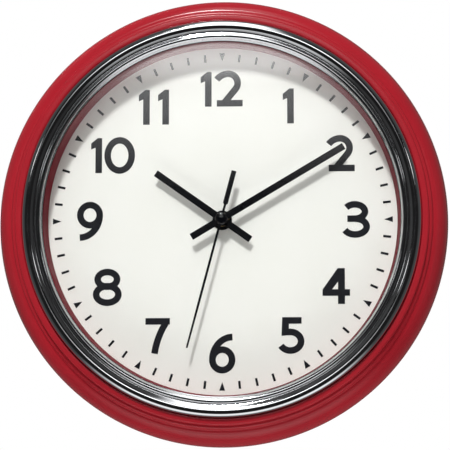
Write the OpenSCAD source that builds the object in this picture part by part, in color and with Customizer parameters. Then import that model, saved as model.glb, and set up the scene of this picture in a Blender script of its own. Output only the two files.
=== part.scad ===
// Round quartz wall clock: stepped case ring, metal bezel, domed lens, printed dial,
// three hands and a battery movement with its whole gear train.
// Everything is drawn face up (x right, y up the dial, z from the wall to the viewer)
// and stood upright at the end: the front faces -Y, the wall plane is y = 0 and +Z is up.

/* [Case] */
// Outside diameter of the case ring
case_d = 381; // [378:0.5:384]
// Height of the dial face above the wall
dial_z = 25.7; // [25.5:0.1:27]
// Radius of the dial sheet
dial_r = 152.9; // [152:0.1:152.9]
// Thickness of the dial sheet
dial_t = 0.5; // [0.3:0.1:0.8]
// Thickness of the back plate
plate_t = 2.5; // [2:0.1:3]
// Height of the domed lens above its own rim
lens_rise = 6.5; // [4:0.5:8]
// Thickness of the lens
lens_t = 2; // [1.5:0.1:2]

/* [Dial print] */
// Thickness of the printed ink
ink_t = 0.12; // [0.1:0.01:0.2]
// Width of a numeral's stroke
stroke_w = 5.6; // [5:0.1:6]
// Radius of the circle that the numerals sit on
numeral_ring_r = 112.5; // [108:0.5:114]
// Inner end of a minute tick
tick_r0 = 136.2; // [134:0.2:138]
// Outer end of a minute tick
tick_r1 = 142.8; // [141:0.2:144]
// Width of a minute tick
tick_w = 2; // [1:0.1:2.4]

/* [Hands] */
// Angle of the minute hand, clockwise from twelve
minute_angle = 59.3; // [0:0.1:360]
// Angle of the hour hand, clockwise from twelve
hour_angle = 305.4; // [0:0.1:360]
// Angle of the second hand, clockwise from twelve
second_angle = 194.9; // [0:0.1:360]
// Length of the minute hand from the axis to the tip
minute_len = 119.5; // [110:0.5:125]
// Length of the hour hand from the axis to the tip
hour_len = 68.5; // [60:0.5:80]
// Length of the second hand from the axis to the tip
second_len = 112.5; // [100:0.5:125]
// Length of the tails behind the axis of the hour and minute hands
tail_len = 29.6; // [20:0.5:35]
// Width of the hour and minute hands
hand_w = 5.8; // [4:0.1:6.5]
// Width of the second hand's needle
needle_w = 2; // [1:0.1:2.4]

/* [Movement] */
// Width and height of the square movement
move_w = 56; // [56:0.1:57]
// Depth of the movement from its front face to its back cover
move_d = 16; // [16:0.1:16.4]
// Gear module of the slow train
slow_module = 0.3; // [0.29:0.005:0.3]
// Share of each tooth's thickness taken off as backlash
backlash = 0.12; // [0.08:0.01:0.2]

/* [Hidden] */
$fn = 96;
eps = 0.01;

// Case heights, all counted from the dial face.
shelf_z = dial_z + 17.3;
gasket_z = dial_z + 18.7;
lens_rim_z = dial_z + 19.3;
lip_z = lens_rim_z + lens_t;
plate_z = dial_z - dial_t - plate_t;
plate_r = 184;
rim_r = case_d / 2;
shell_t = 2.6;
wall_in_r = 153.2;
wall_out_r = 155.8;
boss_ring_r = 161;
bezel_boss_ring_r = 160;
boss_n = 8;
boss_r = 3.2;

// Screws
pilot_r = 1.2;
shank_r = 1.15;
clear_r = 1.9;
head_r = 3.4;
head_t = 2;

// Wall hanger: a keyhole plate at the top of the case.
hanger_y = 172.5;
hanger_z = 3;
hanger_t = 1.2;
hanger_screw_x = 17;
keyhole_r = 4.5;
keyhole_slot_w = 4.2;
keyhole_rise = 7;

// Centre-fixing hardware
bush_r = 4;
bush_h = 4.5;
centre_hole_r = 4.3;
washer_r = 8.3;
washer_t = 0.9;
nut_af = 11;
nut_t = 2.2;
rubber_t = 1;

// Movement shell, with its front face under the back plate.
move_z = plate_z - rubber_t;
move_back_z = move_z - move_d;
front_wall_t = 1;
back_wall_t = 1.2;
side_wall_t = 1.2;
split_z = move_back_z + 4;
inner_w = move_w - 2 * side_wall_t;
front_in_z = move_z - front_wall_t;
back_in_z = move_back_z + back_wall_t;
bay_top_y = -11.3;
bay_wall_t = 0.8;

// Hands: height above the dial and thickness of the sheet metal.
hour_h = 6.8;
minute_h = 9.8;
second_h = 13.2;
sheet_t = 0.6;
needle_t = 0.5;
hand_hub_r = 5.2;

// Arbors and tubes of the hands, with a running clearance between them.
run = 0.05;
pivot_r = 0.5;
minute_tube_r = 1.7;
hour_tube_r = 2.55;

// Gear train, as teeth and module.
pressure_angle = 30;
third_module = slow_module * 36 / 34;
fifth_module = 0.32;
hour_module = slow_module * 24 / 25;
centre_n = 64;
wheel_n = 60;
slow_pinion_n = 8;
fifth_pinion_n = 10;
rotor_n = 12;
cannon_n = 12;
minute_n = 36;
minute_pinion_n = 10;
hour_n = 40;
knob_n = 14;
wheel_t = 0.8;
pinion_t = 1.2;

// Heights of the wheels, counted back from the movement's front face.
hour_wheel_z = move_z - 2.5;
minute_wheel_z = move_z - 4.3;
centre_wheel_z = move_z - 6.1;
train_plate_z = move_z - 7.5;
third_wheel_z = move_z - 9.1;
seconds_wheel_z = move_z - 11.3;
fifth_wheel_z = move_z - 13.5;

// Arbor positions, each a meshing distance from the last.
third_dir = 150;
fifth_dir = 60;
rotor_dir = 20;
minute_dir = -10;
knob_dir = -6;
third_at = polar((centre_n + slow_pinion_n) / 2 * slow_module, third_dir);
fifth_at = polar((wheel_n + fifth_pinion_n) / 2 * fifth_module, fifth_dir);
rotor_at = fifth_at + polar((wheel_n + rotor_n) / 2 * slow_module, rotor_dir);
minute_at = polar((cannon_n + minute_n) / 2 * slow_module, minute_dir);
knob_at = minute_at + polar((minute_n + knob_n) / 2 * slow_module, knob_dir);

// Coil, stator and battery
coil_y = 23;
coil_z = move_z - 9.8;
coil_x0 = -8;
coil_x1 = 14;
coil_r = 3.3;
stator_t = 1.2;
battery_r = 7.25;
battery_y = -19.05;
battery_z = move_back_z + 0.25 + battery_r;
battery_x0 = -24.6;
battery_x1 = 24.9;

function polar(r, a) = [r * cos(a), r * sin(a)];
function arc(c, rx, ry, a0, a1, n = 16) =
    [for (i = [0:n]) let (a = a0 + (a1 - a0) * i / n) c + [rx * cos(a), ry * sin(a)]];
function side(p, i) =
    let (d = p[min(i + 1, len(p) - 1)] - p[max(i - 1, 0)]) [-d[1], d[0]] / norm(d);

// Turns a face-up shape into the upright frame.
module upright() {
    rotate([90, 0, 0]) children();
}

module at(p, z = 0) {
    translate([p[0], p[1], z]) children();
}

// Places a thing on a circle at equal steps.
module around(n, r, start = 0) {
    for (i = [0:n - 1]) rotate(start + 360 * i / n) translate([r, 0, 0]) children();
}

module tube(r_out, r_in, h) {
    difference() {
        cylinder(r = r_out, h = h);
        translate([0, 0, -1]) cylinder(r = r_in, h = h + 2);
    }
}

// Pan-head screw, head at z = 0 and above, shank below, with a cross recess.
module pan_screw(length) {
    difference() {
        union() {
            intersection() {
                cylinder(r = head_r, h = head_t);
                translate([0, 0, -3.2]) sphere(r = 5.3);
            }
            translate([0, 0, -length]) cylinder(r = shank_r, h = length + eps);
        }
        for (a = [0, 90]) rotate(a) translate([-2, -0.35, 0.9]) cube([4, 0.7, head_t]);
    }
}

// ---- Case ----

// Front and side outline of the case ring, from the foot at the wall to the bezel seat.
function case_outline() = concat(
    [[rim_r - 3.5, 0]],
    arc([rim_r - 14.5, dial_z - 14.7], 14.5, 30, -20, 0, 5),
    [[rim_r - 0.4, dial_z - 10.7], [rim_r - 1.3, dial_z - 5.7], [rim_r - 2.5, dial_z - 1.2],
     [rim_r - 4, dial_z + 2.6], [rim_r - 6.1, dial_z + 6.1], [rim_r - 8.9, dial_z + 9.2],
     [rim_r - 10.5, dial_z + 10.3], [rim_r - 11.6, dial_z + 10.9], [rim_r - 12.5, dial_z + 11.2],
     [rim_r - 13.3, dial_z + 11.7]],
    arc([rim_r - 16.3, dial_z + 12.4], 2.7, 3, 10, 95, 6),
    arc([rim_r - 18.7, dial_z + 16.9], 1.9, 3, 5, 90, 6),
    [[rim_r - 20.3, dial_z + 20.1], [rim_r - 21.7, dial_z + 20.1], [rim_r - 22.5, dial_z + 19.8],
     [rim_r - 22.9, dial_z + 19.1], [rim_r - 22.9, shelf_z]]);

// Inside of the shell, parallel to the outside at the wall thickness.
function case_inside() = [
    [165, shelf_z - shell_t], [168.6, dial_z + 15.2], [170.2, dial_z + 16.4],
    [171.6, dial_z + 15], [172.6, dial_z + 12.6], [175, dial_z + 10.2], [178, dial_z + 8.4],
    [181.6, dial_z + 5], [184, dial_z + 1.2], [185.6, dial_z - 2.8],
    [186.8, dial_z - 7.8], [187.6, dial_z - 13.7], [187.2, dial_z - 18.7],
    [186, dial_z - 22.3], [rim_r - 6.5, 0]];

module case_section() {
    polygon(concat(case_outline(),
        [[wall_in_r, shelf_z], [wall_in_r, plate_z + plate_t], [wall_out_r, plate_z + plate_t],
         [wall_out_r, shelf_z - shell_t]],
        case_inside()));
}

module case_rib() {
    rib_z = plate_z + plate_t + 2;
    rotate([0, 0, -0.3]) rotate_extrude(angle = 0.6)
        polygon([[boss_ring_r, rib_z], [184.4, rib_z], [184.6, dial_z + 2], [180, dial_z + 7.2],
            [174.5, dial_z + 11.2], [171, dial_z + 16.6], [boss_ring_r, shelf_z - 1]]);
}

module case_ring() {
    color([0.62, 0.12, 0.17]) upright() difference() {
        union() {
            rotate_extrude() case_section();
            for (i = [0:boss_n - 1]) rotate(360 * i / boss_n) case_rib();
            around(boss_n, boss_ring_r) translate([0, 0, plate_z + plate_t])
                cylinder(r = boss_r, h = shelf_z - plate_z - plate_t - 1);
            for (x = [-1, 1]) translate([x * hanger_screw_x, hanger_y, hanger_z + hanger_t])
                cylinder(r = boss_r, h = dial_z + 11 - hanger_z - hanger_t);
        }
        around(boss_n, boss_ring_r) translate([0, 0, plate_z])
            cylinder(r = pilot_r, h = 14);
        around(boss_n, bezel_boss_ring_r, 180 / boss_n) translate([0, 0, shelf_z - 5])
            cylinder(r = clear_r, h = 10);
        for (x = [-1, 1]) translate([x * hanger_screw_x, hanger_y, 0])
            cylinder(r = pilot_r, h = 16);
    }
}

module inner_wall_ring() {
    color([0.5, 0.1, 0.15]) upright() rotate_extrude()
        polygon([[147.5, dial_z], [150.2, dial_z], [151.8, gasket_z - 1.8],
            [dial_r, gasket_z - 1.8], [dial_r, gasket_z], [149.4, gasket_z]]);
}

// Rolled metal bezel: outer bead, small bead and inner lip, with two legs under them.
function bezel_outline() = concat(
    [[167.3, shelf_z], [167.3, dial_z + 20.6]],
    arc([162.1, dial_z + 20.6], 5.2, 5.4, 12, 125, 9),
    [[157.8, dial_z + 24.2], [157.2, dial_z + 23.9], [156.7, dial_z + 23.8],
     [156.2, dial_z + 23.9]],
    arc([153.8, dial_z + 22.6], 2.5, 2.4, 40, 145, 8),
    [[150.4, dial_z + 22.2], [149.9, dial_z + 21.8]],
    [[149.9, lip_z], [wall_in_r, lip_z], [wall_in_r, shelf_z], [155, shelf_z]],
    [[155, lip_z + 0.2], [158.5, lip_z + 0.4], [161.8, dial_z + 23.7],
     [164.5, dial_z + 21.8], [165.3, dial_z + 19.5], [165.3, shelf_z]]);

module chrome_bezel() {
    color([0.72, 0.73, 0.75]) upright() difference() {
        union() {
            rotate_extrude() polygon(bezel_outline());
            around(boss_n, bezel_boss_ring_r, 180 / boss_n) translate([0, 0, shelf_z])
                cylinder(r = 2.6, h = 5.2);
        }
        around(boss_n, bezel_boss_ring_r, 180 / boss_n) translate([0, 0, shelf_z - 1])
            cylinder(r = pilot_r, h = 5);
    }
}

// Half the section of the lens: a dome between two spheres of one centre, and a flat rim.
lens_rim_r = 152.8;
lens_dome_r = 149.6;
lens_sphere_r = (lens_dome_r * lens_dome_r + lens_rise * lens_rise) / (2 * lens_rise);
lens_half_angle = asin(lens_dome_r / lens_sphere_r);
lens_steps = 12;

function dome(r) = [for (i = [0:lens_steps]) let (a = lens_half_angle * i / lens_steps)
    [r * sin(a), lip_z + lens_rise - lens_sphere_r + r * cos(a)]];
function reversed(p) = [for (i = [len(p) - 1:-1:0]) p[i]];

module lens() {
    color([0.85, 0.93, 0.95, 0.35]) upright() rotate_extrude()
        polygon(concat(dome(lens_sphere_r), [[lens_rim_r, lip_z], [lens_rim_r, lens_rim_z]],
            reversed(dome(lens_sphere_r - lens_t))));
}

module lens_gasket() {
    color([0.1, 0.1, 0.1]) upright() translate([0, 0, gasket_z])
        tube(dial_r - 0.1, 150, lens_rim_z - gasket_z);
}

module back_plate() {
    color([0.16, 0.16, 0.17]) upright() translate([0, 0, plate_z]) difference() {
        cylinder(r = plate_r, h = plate_t);
        translate([0, 0, -1]) cylinder(r = centre_hole_r, h = plate_t + 2);
        around(boss_n, boss_ring_r) translate([0, 0, -1]) cylinder(r = clear_r, h = plate_t + 2);
        for (x = [-1, 1]) translate([x * hanger_screw_x, hanger_y, -1])
            cylinder(r = boss_r + 0.5, h = plate_t + 2);
    }
}

module dial() {
    color([0.94, 0.935, 0.91]) upright() translate([0, 0, dial_z - dial_t])
        tube(dial_r, centre_hole_r, dial_t);
}

// ---- Dial print ----

// A pen stroke of constant width along a line of points.
module stroke(p, w = stroke_w) {
    polygon(concat(
        [for (i = [0:len(p) - 1]) p[i] + side(p, i) * w / 2],
        [for (i = [len(p) - 1:-1:0]) p[i] - side(p, i) * w / 2]));
}

// A closed oval stroke, given the radii of its middle line.
module oval(c, rx, ry) {
    difference() {
        polygon(arc(c, rx + stroke_w / 2, ry + stroke_w / 2, 0, 352.5, 47));
        polygon(arc(c, rx - stroke_w / 2, ry - stroke_w / 2, 0, 352.5, 47));
    }
}

module digit_zero() {
    oval([13.05, 15], 10.25, 12.95);
}

module digit_one() {
    polygon([[3.7, 0], [9.3, 0], [9.3, 30], [5.6, 30], [0, 25.5], [0, 20.2], [3.7, 21.9]]);
}

module digit_two() {
    stroke(concat(arc([11, 15.8], 12.4, 12.4, 143, 95, 8),
        arc([10.7, 20.1], 8.1, 8.1, 85, -38, 14), [[7.4, 3.2]]));
    translate([1.1, 0]) square([21.9, 5.5]);
}

module digit_three() {
    stroke(arc([10.5, 21.7], 8.55, 6.1, 146, -90, 20));
    stroke(arc([10.8, 8.9], 9.6, 6.7, 90, -155, 20));
    translate([4.2, 12.9]) square([7, 5.5]);
}

module digit_four() {
    difference() {
        polygon([[12.9, 0], [18.8, 0], [18.8, 6.9], [23, 6.9], [23, 12.4], [18.8, 12.4],
            [18.8, 30.2], [12.7, 30.2], [0, 12.2], [0, 6.9], [12.9, 6.9]]);
        polygon([[8.1, 12.4], [13, 12.4], [13, 18.8]]);
    }
}

module digit_five() {
    stroke(arc([10.2, 9.8], 8.95, 7.8, 102, -152, 22));
    polygon([[2.75, 14.3], [3.4, 30], [9, 30], [9, 20.3], [10.4, 20.5], [10.4, 14.9], [7, 14.7]]);
    translate([3.4, 24.5]) square([16.2, 5.5]);
}

module digit_six() {
    oval([11.05, 10.7], 8.25, 8.6);
    stroke(arc([19.65, 10.7], 16.85, 19.1, 90, 180, 16));
}

module digit_seven() {
    stroke(arc([72.8, -9.1], 65.7, 65.7, 172, 148, 8));
    translate([0, 24.5]) square([20.6, 5.5]);
}

module digit_eight() {
    oval([12.15, 9.1], 9.4, 7);
    oval([12.15, 21.9], 8.2, 6.2);
}

// One hour's numeral, with its middle at the origin.
module numeral(h) {
    if (h == 1) translate([-4.65, -15]) digit_one();
    if (h == 2) translate([-11.5, -15.2]) digit_two();
    if (h == 3) translate([-11.6, -15]) digit_three();
    if (h == 4) translate([-11.5, -15.1]) digit_four();
    if (h == 5) translate([-11, -14.8]) digit_five();
    if (h == 6) translate([-11.05, -16]) digit_six();
    if (h == 7) translate([-10.3, -15]) digit_seven();
    if (h == 8) translate([-12.15, -15.1]) digit_eight();
    if (h == 9) rotate(180) translate([-11.05, -16]) digit_six();
    if (h >= 10) translate([-18, -15]) digit_one();
    if (h == 10) translate([-6.7, -15]) digit_zero();
    if (h == 11) translate([-1.6, -15]) digit_one();
    if (h == 12) translate([-5.3, -15]) digit_two();
}

// Optical centring: how far right of its place on the ring each numeral sits.
nudge = [-0.2, 3, 0.3, -1.7, 1.7, 0, 1.9, 0.4, 0.4, 3.9, 3.2, -0.4];

module dial_numerals() {
    color([0.12, 0.12, 0.14]) upright() for (h = [1:12])
        at([nudge[h - 1], 0] + polar(numeral_ring_r, 90 - 30 * h), dial_z)
            linear_extrude(ink_t) numeral(h);
}

module minute_track() {
    color([0.1, 0.1, 0.12]) upright() for (i = [0:59]) if (i % 5 > 0)
        rotate(-6 * i) translate([-tick_w / 2, tick_r0, dial_z])
            cube([tick_w, tick_r1 - tick_r0, ink_t]);
}

module hour_markers() {
    color([0.1, 0.1, 0.12]) upright() for (h = [1:12])
        rotate(-30 * h) translate([0, 0, dial_z]) linear_extrude(ink_t)
            polygon([[-2.5, tick_r1 + 0.8], [2.5, tick_r1 + 0.8], [0, tick_r0 + 0.1]]);
}

// ---- Fasteners and hanger ----

module back_plate_screws() {
    color([0.75, 0.75, 0.76]) upright() around(boss_n, boss_ring_r)
        translate([0, 0, plate_z]) rotate([180, 0, 0]) pan_screw(12);
}

module bezel_screws() {
    color([0.75, 0.75, 0.76]) upright() around(boss_n, bezel_boss_ring_r, 180 / boss_n)
        translate([0, 0, shelf_z - shell_t]) rotate([180, 0, 0]) pan_screw(6);
}

module hanger_plate() {
    color([0.7, 0.71, 0.73]) upright() translate([0, hanger_y, hanger_z]) difference() {
        union() {
            translate([-19, -7.5, 0]) cube([38, 16, hanger_t]);
            for (x = [-1, 1]) translate([x * 19, 0.5, 0]) cylinder(r = 5, h = hanger_t);
        }
        translate([0, -1, -1]) {
            cylinder(r = keyhole_r, h = 4);
            translate([-keyhole_slot_w / 2, 0, 0]) cube([keyhole_slot_w, keyhole_rise, 4]);
            translate([0, keyhole_rise, 0]) cylinder(r = keyhole_slot_w / 2, h = 4);
        }
        for (x = [-1, 1]) translate([x * hanger_screw_x, 0, -1]) cylinder(r = clear_r, h = 4);
    }
}

module hanger_screws() {
    color([0.75, 0.75, 0.76]) upright() for (x = [-1, 1])
        translate([x * hanger_screw_x, hanger_y, hanger_z]) rotate([180, 0, 0]) pan_screw(10);
}

// ---- Centre hardware ----

module rubber_washer() {
    color([0.08, 0.08, 0.08]) upright() translate([0, 0, move_z])
        tube(12, centre_hole_r - 0.1, rubber_t);
}

module dial_washer() {
    color([0.1, 0.1, 0.1]) upright() translate([0, 0, dial_z])
        tube(washer_r, bush_r + 0.1, washer_t);
}

module hex_nut() {
    color([0.72, 0.58, 0.32]) upright() translate([0, 0, dial_z + washer_t]) difference() {
        rotate(10) cylinder(r = nut_af / sqrt(3), h = nut_t, $fn = 6);
        translate([0, 0, -1]) cylinder(r = bush_r + 0.05, h = nut_t + 2);
    }
}

// ---- Movement ----

module square_box(w, h) {
    translate([-w / 2, -w / 2, 0]) cube([w, w, h]);
}

// Post with a blind pivot hole at its free end.
module pivot_post(p, z0, z1, r, hole_z0, hole_z1) {
    difference() {
        at(p, z0) cylinder(r = r, h = z1 - z0);
        at(p, hole_z0) cylinder(r = pivot_r + run, h = hole_z1 - hole_z0);
    }
}

module movement_front_housing() {
    plate_posts = [[-12.5, -8], [12.5, -8.2], [20, 7.5]];
    color([0.14, 0.14, 0.15]) upright() difference() {
        union() {
            difference() {
                translate([0, 0, split_z]) square_box(move_w, move_z - split_z);
                translate([0, 0, split_z - 1]) square_box(inner_w, front_in_z - split_z + 1);
            }
            translate([0, 0, front_in_z]) cylinder(r = bush_r, h = dial_z + bush_h - front_in_z);
            translate([-inner_w / 2 - eps, bay_top_y, back_in_z])
                cube([inner_w + 2 * eps, bay_wall_t, front_in_z - back_in_z + eps]);
            for (p = plate_posts) at(p, train_plate_z + 0.7)
                cylinder(r = 1.5, h = front_in_z - train_plate_z - 0.7 + eps);
            at(minute_at, minute_wheel_z - 0.4)
                cylinder(r = 0.6, h = front_in_z - minute_wheel_z + 0.4 + eps);
            at(knob_at, front_in_z - 1.8) cylinder(r = 2, h = 1.8 + eps);
            at(third_at, centre_wheel_z + 1.6)
                cylinder(r = 1.5, h = front_in_z - centre_wheel_z - 1.6 + eps);
            for (x = [-23, -12]) translate([x, 24, front_in_z - 3.3]) cylinder(r = 1.2, h = 3.4);
        }
        translate([0, 0, front_in_z - 1])
            cylinder(r = hour_tube_r + run, h = dial_z + bush_h - front_in_z + 2);
        at(knob_at, front_in_z - 2) cylinder(r = 1 + run, h = 2);
        at(third_at, centre_wheel_z + 1) cylinder(r = pivot_r + run, h = 2.4);
    }
}

module movement_back_cover() {
    bay_w = inner_w - 1;
    color([0.17, 0.17, 0.18]) upright() difference() {
        union() {
            translate([0, 0, move_back_z]) square_box(move_w, back_wall_t);
            difference() {
                translate([0, 0, move_back_z]) square_box(move_w, split_z - move_back_z);
                translate([0, 0, move_back_z - 1]) square_box(inner_w, 20);
            }
            at([0, 0], back_in_z - eps) cylinder(r = 1.4, h = 0.9);
            at(third_at, back_in_z - eps) cylinder(r = 1.5, h = 2.9);
            at(fifth_at, back_in_z - eps) cylinder(r = 1.5, h = 0.9);
            at(rotor_at, back_in_z - eps) cylinder(r = 1.5, h = 0.7);
            at(knob_at, back_in_z - eps) cylinder(r = 2.2, h = 1.4);
        }
        translate([-bay_w / 2, -inner_w / 2 + 0.2, move_back_z - 1])
            cube([bay_w, inner_w / 2 + bay_top_y - 0.3, 10]);
        at([0, 0], back_in_z - 0.6) cylinder(r = pivot_r + run, h = 4);
        at(third_at, back_in_z - 0.6) cylinder(r = pivot_r + run, h = 4);
        at(fifth_at, back_in_z - 0.6) cylinder(r = pivot_r + run, h = 4);
        at(rotor_at, back_in_z - 0.6) cylinder(r = pivot_r + run, h = 4);
        at(knob_at, move_back_z - 1) cylinder(r = 1 + run, h = 6);
    }
}

module train_plate() {
    color([0.85, 0.85, 0.8]) upright() translate([0, 0, train_plate_z]) difference() {
        translate([-14, -9.7, 0]) cube([35.8, 27.2, 0.7]);
        for (p = [[0, 0], fifth_at, rotor_at]) at(p, -1) cylinder(r = pivot_r + run, h = 3);
        at(third_at, -1) cylinder(r = 2, h = 3);
        at(knob_at, -1) cylinder(r = 1.5, h = 3);
    }
}

// ---- Gears ----

// Involute of an angle, in degrees.
function involute(a) = tan(a) * 180 / PI - a;

// Half the angle that a tooth fills at one radius.
function tooth_half(n, m, r) =
    let (base = n * m / 2 * cos(pressure_angle), a = r > base ? acos(base / r) : 0)
    90 / n * (1 - backlash) + involute(pressure_angle) - involute(a);

// Outline of a spur gear, with a tooth centred at the angle turn.
function gear_points(n, m, turn) =
    let (root = m * (n / 2 - 1.1), tip = m * (n / 2 + 0.8),
         low = max(root, n * m / 2 * cos(pressure_angle)),
         radii = n > 20 ? [root, (root + tip) / 2, tip]
                        : [root, low, low + (tip - low) * 0.4, low + (tip - low) * 0.7, tip],
         last = len(radii) - 1)
    [for (k = [0:n - 1]) for (s = [-1, 1]) for (j = [0:last])
        let (r = s < 0 ? radii[j] : radii[last - j])
        polar(r, turn + 360 * k / n + s * tooth_half(n, m, r))];

module gear(n, m, h, turn = 0) {
    linear_extrude(h) polygon(gear_points(n, m, turn));
}

// Turn of gear B that puts it in mesh with gear A, where B lies in direction dir from A.
function in_mesh(turn_a, n_a, n_b, dir) =
    dir + 180 - (0.5 - (dir - turn_a) * n_a / 360) * 360 / n_b;

module rotor_magnet() {
    color([0.3, 0.3, 0.32]) upright() at(rotor_at, coil_z - 1.5) tube(2.2, 0.5, 3);
}

module rotor_pinion() {
    color([0.9, 0.9, 0.88]) upright() {
        at(rotor_at, fifth_wheel_z - 0.2) gear(rotor_n, slow_module, pinion_t);
        at(rotor_at, back_in_z - 0.4) cylinder(r = pivot_r, h = train_plate_z + 0.9 - back_in_z);
    }
}

module fifth_wheel() {
    turn = in_mesh(0, rotor_n, wheel_n, rotor_dir + 180);
    color([0.92, 0.9, 0.84]) upright() {
        at(fifth_at, fifth_wheel_z) gear(wheel_n, slow_module, wheel_t, turn);
        at(fifth_at, seconds_wheel_z - 0.2) gear(fifth_pinion_n, fifth_module, pinion_t);
        at(fifth_at, fifth_wheel_z) cylinder(r = 1.2, h = seconds_wheel_z - fifth_wheel_z);
        at(fifth_at, back_in_z - 0.4) cylinder(r = pivot_r, h = train_plate_z + 0.9 - back_in_z);
    }
}

module seconds_wheel() {
    turn = in_mesh(0, fifth_pinion_n, wheel_n, fifth_dir + 180);
    color([0.85, 0.3, 0.2]) upright() {
        at([0, 0], seconds_wheel_z) gear(wheel_n, fifth_module, wheel_t, turn);
        at([0, 0], third_wheel_z - 0.2) gear(slow_pinion_n, third_module, pinion_t);
        at([0, 0], seconds_wheel_z) cylinder(r = 0.9, h = third_wheel_z - seconds_wheel_z);
        at([0, 0], back_in_z - 0.4)
            cylinder(r = pivot_r, h = dial_z + second_h + needle_t / 2 - back_in_z + 0.4);
    }
}

module third_wheel() {
    turn = in_mesh(0, slow_pinion_n, wheel_n, third_dir);
    color([0.9, 0.9, 0.88]) upright() {
        at(third_at, third_wheel_z) gear(wheel_n, third_module, wheel_t, turn);
        at(third_at, centre_wheel_z - 0.2) gear(slow_pinion_n, slow_module, pinion_t);
        at(third_at, third_wheel_z) cylinder(r = 0.8, h = centre_wheel_z - third_wheel_z);
        at(third_at, back_in_z - 0.4)
            cylinder(r = pivot_r, h = centre_wheel_z + 3 - back_in_z);
    }
}

module centre_wheel() {
    turn = in_mesh(0, slow_pinion_n, centre_n, third_dir + 180);
    color([0.2, 0.45, 0.75]) upright() difference() {
        union() {
            at([0, 0], centre_wheel_z) gear(centre_n, slow_module, wheel_t, turn);
            at([0, 0], centre_wheel_z - 0.4) cylinder(r = 1.4, h = 4);
            at([0, 0], minute_wheel_z - 0.2) gear(cannon_n, slow_module, pinion_t);
            at([0, 0], minute_wheel_z + 1.2)
                cylinder(r = minute_tube_r, h = dial_z + minute_h - minute_wheel_z - 0.5);
        }
        cylinder(r = pivot_r + run, h = 60);
    }
}

module minute_wheel() {
    turn = in_mesh(0, cannon_n, minute_n, minute_dir);
    color([0.9, 0.9, 0.88]) upright() difference() {
        union() {
            at(minute_at, minute_wheel_z) gear(minute_n, slow_module, wheel_t, turn);
            at(minute_at, minute_wheel_z) gear(minute_pinion_n, hour_module, 2.9);
        }
        at(minute_at, 0) cylinder(r = 0.6 + run, h = 60);
    }
}

module hour_wheel() {
    turn = in_mesh(0, minute_pinion_n, hour_n, minute_dir + 180);
    color([0.92, 0.9, 0.84]) upright() difference() {
        union() {
            at([0, 0], hour_wheel_z) gear(hour_n, hour_module, 1, turn);
            at([0, 0], hour_wheel_z)
                cylinder(r = hour_tube_r, h = dial_z + hour_h + 0.8 - hour_wheel_z);
        }
        cylinder(r = minute_tube_r + run, h = 60);
    }
}

module setting_knob() {
    minute_turn = in_mesh(0, cannon_n, minute_n, minute_dir);
    turn = in_mesh(minute_turn, minute_n, knob_n, knob_dir);
    grip_n = 20;
    color([0.16, 0.16, 0.17]) upright() at(knob_at) {
        translate([0, 0, minute_wheel_z - 0.2]) gear(knob_n, slow_module, pinion_t, turn);
        translate([0, 0, move_back_z - 0.4]) cylinder(r = 1, h = front_in_z - move_back_z);
        difference() {
            translate([0, 0, move_back_z - 3.2]) cylinder(r = 5, h = 2.9);
            around(grip_n, 5.3) translate([0, 0, move_back_z - 4]) cylinder(r = 0.55, h = 5);
        }
    }
}

// ---- Coil, electronics and battery ----

module stator() {
    leg_w = 7.6;
    color([0.6, 0.6, 0.62]) upright() translate([0, 0, coil_z - stator_t / 2]) difference() {
        union() {
            translate([coil_x0 - 2, coil_y - 1.3, 0]) cube([27.5, 2.6, stator_t]);
            translate([rotor_at[0] - leg_w / 2 + 0.7, rotor_at[1] - 4.4, 0])
                cube([leg_w, coil_y - rotor_at[1] + 5.7, stator_t]);
        }
        at(rotor_at, -1) cylinder(r = 2.8, h = 4);
    }
}

module coil_bobbin() {
    flange = 7.2;
    color([0.2, 0.2, 0.22]) upright() difference() {
        union() {
            for (x = [coil_x0, coil_x1 - 2.8])
                translate([x, coil_y - flange / 2, coil_z - flange / 2])
                    cube([0.8, flange, flange]);
            translate([coil_x0, coil_y - 2, coil_z - 1.4]) cube([coil_x1 - coil_x0 - 2, 4, 2.8]);
        }
        translate([coil_x0 - 1, coil_y - 1.4, coil_z - 0.7]) cube([40, 2.8, 1.4]);
    }
}

module coil_winding() {
    color([0.72, 0.36, 0.16]) upright() difference() {
        translate([coil_x0 + 0.8, coil_y, coil_z]) rotate([0, 90, 0])
            cylinder(r = coil_r, h = coil_x1 - coil_x0 - 3.6);
        translate([coil_x0 - 1, coil_y - 2, coil_z - 1.4]) cube([40, 4, 2.8]);
    }
}

board_z = front_in_z - 4.3;

module circuit_board() {
    color([0.15, 0.4, 0.25]) upright() translate([-25.5, 16.8, board_z]) cube([15.5, 9.4, 1]);
}

module chip_blob() {
    color([0.06, 0.06, 0.07]) upright() intersection() {
        translate([-21, 21.5, board_z + 3]) sphere(r = 4.2);
        translate([-25.5, 16.8, board_z - 3]) cube([15.5, 9.4, 3]);
    }
}

module quartz_crystal() {
    color([0.8, 0.81, 0.83]) upright() translate([-16.6, 19.4, board_z - 1.55])
        rotate([0, 90, 0]) cylinder(r = 1.5, h = 6);
}

module positive_contact() {
    color([0.8, 0.78, 0.7]) upright() {
        translate([26.1, battery_y - 4, battery_z - 5]) cube([0.5, 8, 10]);
    }
}

// Contact plate with a short coil spring drawn as stacked rings.
module negative_contact() {
    color([0.8, 0.78, 0.7]) upright() {
        translate([-26.7, battery_y - 4.5, battery_z - 5]) cube([0.4, 9, 10]);
        translate([-26.3, battery_y, battery_z]) rotate([0, 90, 0]) for (i = [0:2])
            translate([0, 0, i * 0.5]) tube(3.9 - i * 0.6, 2.9 - i * 0.6, 0.55);
    }
}

module battery() {
    color([0.2, 0.3, 0.5]) upright() translate([battery_x0, battery_y, battery_z])
        rotate([0, 90, 0]) {
            cylinder(r = battery_r, h = battery_x1 - battery_x0);
            translate([0, 0, battery_x1 - battery_x0 - eps]) cylinder(r = 2.7, h = 1.1);
        }
}

// ---- Hands ----

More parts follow.
